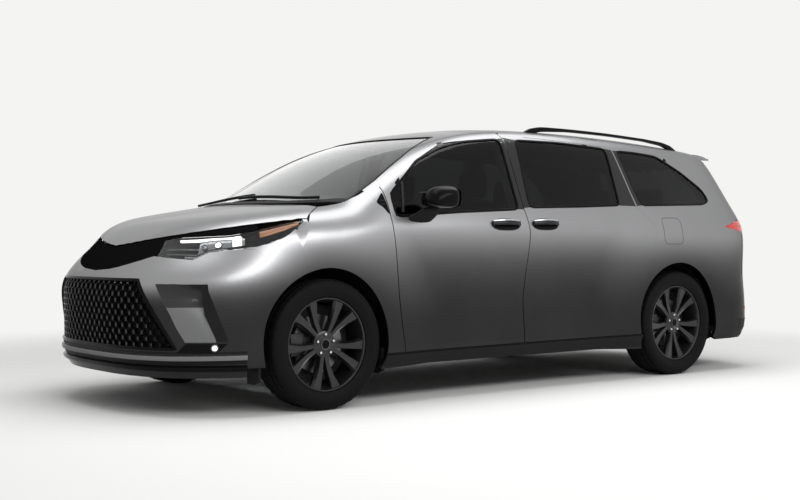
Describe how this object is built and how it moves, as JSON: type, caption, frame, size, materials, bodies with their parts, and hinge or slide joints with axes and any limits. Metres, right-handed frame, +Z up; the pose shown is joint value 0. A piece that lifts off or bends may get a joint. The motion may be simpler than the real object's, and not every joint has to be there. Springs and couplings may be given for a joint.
{
  "type": "minivan",
  "caption": "Three-row minivan with hinged front doors, hood and tailgate, sliding side doors, a full cabin and wheels that roll and steer.",
  "frame": {"origin": "on the ground, at the middle of the bounding box's base", "axes": "+X forward, +Y to the vehicle's left, +Z up"},
  "size_m": [5.175, 2.38, 1.7417],
  "materials": {
    "body_paint": "metallic dark grey gloss",
    "tinted_glass": "dark tinted glass",
    "clear_glass": "clear glass",
    "gloss_black": "high gloss black",
    "matte_black": "grained black",
    "lamp_glass": "clear lens",
    "red_lens": "red lens",
    "wheel_grey": "dark gunmetal",
    "tyre_rubber": "rubber",
    "rail_metal": "satin",
    "under_metal": "satin dark",
    "cast_metal": "cast",
    "engine_metal": "cast aluminium",
    "exhaust_steel": "dull steel",
    "seat_fabric": "dark woven"
  },
  "bodies": {
    "chassis": {"body_side_left": "body_paint", "body_side_right": "body_paint", "fender_left": "body_paint", "fender_right": "body_paint", "sliding_door_left": "body_paint", "sliding_door_right": "body_paint", "fixed_side_glass": "tinted_glass", "roof_panel": "body_paint", "windshield": "clear_glass", "front_bumper": "body_paint", "lower_grille": "gloss_black", "upper_grille_panel": "gloss_black", "headlamps": "lamp_glass", "fog_lamps": "gloss_black", "front_splitter": "body_paint", "tail_lamps": "red_lens", "rear_bumper": "body_paint", "roof_rails": "rail_metal", "floor_pan": "under_metal", "front_structure": "matte_black", "front_arch_liners": "matte_black", "front_subframe": "cast_metal", "front_struts": "cast_metal", "rear_axle": "cast_metal", "engine_block": "engine_metal", "fuel_tank": "matte_black", "exhaust": "exhaust_steel", "front_seats": "seat_fabric", "rear_seats": "seat_fabric", "dashboard": "matte_black", "steering_wheel": "matte_black"},
    "hood": {"hood": "body_paint"},
    "tailgate": {"tailgate": "body_paint", "rear_glass": "tinted_glass"},
    "front_door_left": {"front_door_left": "body_paint", "front_door_glass_left": "tinted_glass", "mirror_left": "gloss_black"},
    "knuckle_left": {"knuckle_left": "cast_metal"},
    "wheel_front_left": {"rim_front_left": "wheel_grey", "tyre_front_left": "tyre_rubber"},
    "wheel_rear_left": {"rim_rear_left": "wheel_grey", "tyre_rear_left": "tyre_rubber"},
    "front_door_right": {"front_door_right": "body_paint", "front_door_glass_right": "tinted_glass", "mirror_right": "gloss_black"},
    "knuckle_right": {"knuckle_right": "cast_metal"},
    "wheel_front_right": {"rim_front_right": "wheel_grey", "tyre_front_right": "tyre_rubber"},
    "wheel_rear_right": {"rim_rear_right": "wheel_grey", "tyre_rear_right": "tyre_rubber"}
  },
  "joints": [
    {"name": "steer_left", "type": "hinge", "parent": "chassis", "child": "knuckle_left", "pos_m": [1.582, 0.801, 0.243], "axis": [0, -0.246, 0.9693], "range_deg": [-32, 32]},
    {"name": "wheel_front_left_spin", "type": "hinge", "parent": "knuckle_left", "child": "wheel_front_left", "pos_m": [1.582, 0.855, 0.3715], "axis": [0, 1, 0], "continuous": true},
    {"name": "wheel_rear_left_spin", "type": "hinge", "parent": "chassis", "child": "wheel_rear_left", "pos_m": [-1.479, 0.855, 0.3715], "axis": [0, 1, 0], "continuous": true},
    {"name": "front_door_left_hinge", "type": "hinge", "parent": "chassis", "child": "front_door_left", "pos_m": [1.116, 0.958, 0.8], "axis": [0, 0, -1], "range_deg": [0, 65]},
    {"name": "steer_right", "type": "hinge", "parent": "chassis", "child": "knuckle_right", "pos_m": [1.582, -0.801, 0.243], "axis": [0, 0.246, 0.9693], "range_deg": [-32, 32]},
    {"name": "wheel_front_right_spin", "type": "hinge", "parent": "knuckle_right", "child": "wheel_front_right", "pos_m": [1.582, -0.855, 0.3715], "axis": [0, 1, 0], "continuous": true},
    {"name": "wheel_rear_right_spin", "type": "hinge", "parent": "chassis", "child": "wheel_rear_right", "pos_m": [-1.479, -0.855, 0.3715], "axis": [0, 1, 0], "continuous": true},
    {"name": "front_door_right_hinge", "type": "hinge", "parent": "chassis", "child": "front_door_right", "pos_m": [1.116, -0.958, 0.8], "axis": [0, 0, 1], "range_deg": [0, 65]},
    {"name": "hood_hinge", "type": "hinge", "parent": "chassis", "child": "hood", "pos_m": [1.553, 0, 1.178], "axis": [0, -1, 0], "range_deg": [0, 50]},
    {"name": "tailgate_hinge", "type": "hinge", "parent": "chassis", "child": "tailgate", "pos_m": [-2.128, 0, 1.67174], "axis": [0, 1, 0], "range_deg": [0, 78]}
  ],
  "couplings": [
    {"joint": "steer_right", "follows": "steer_left", "ratio": 1}
  ]
}
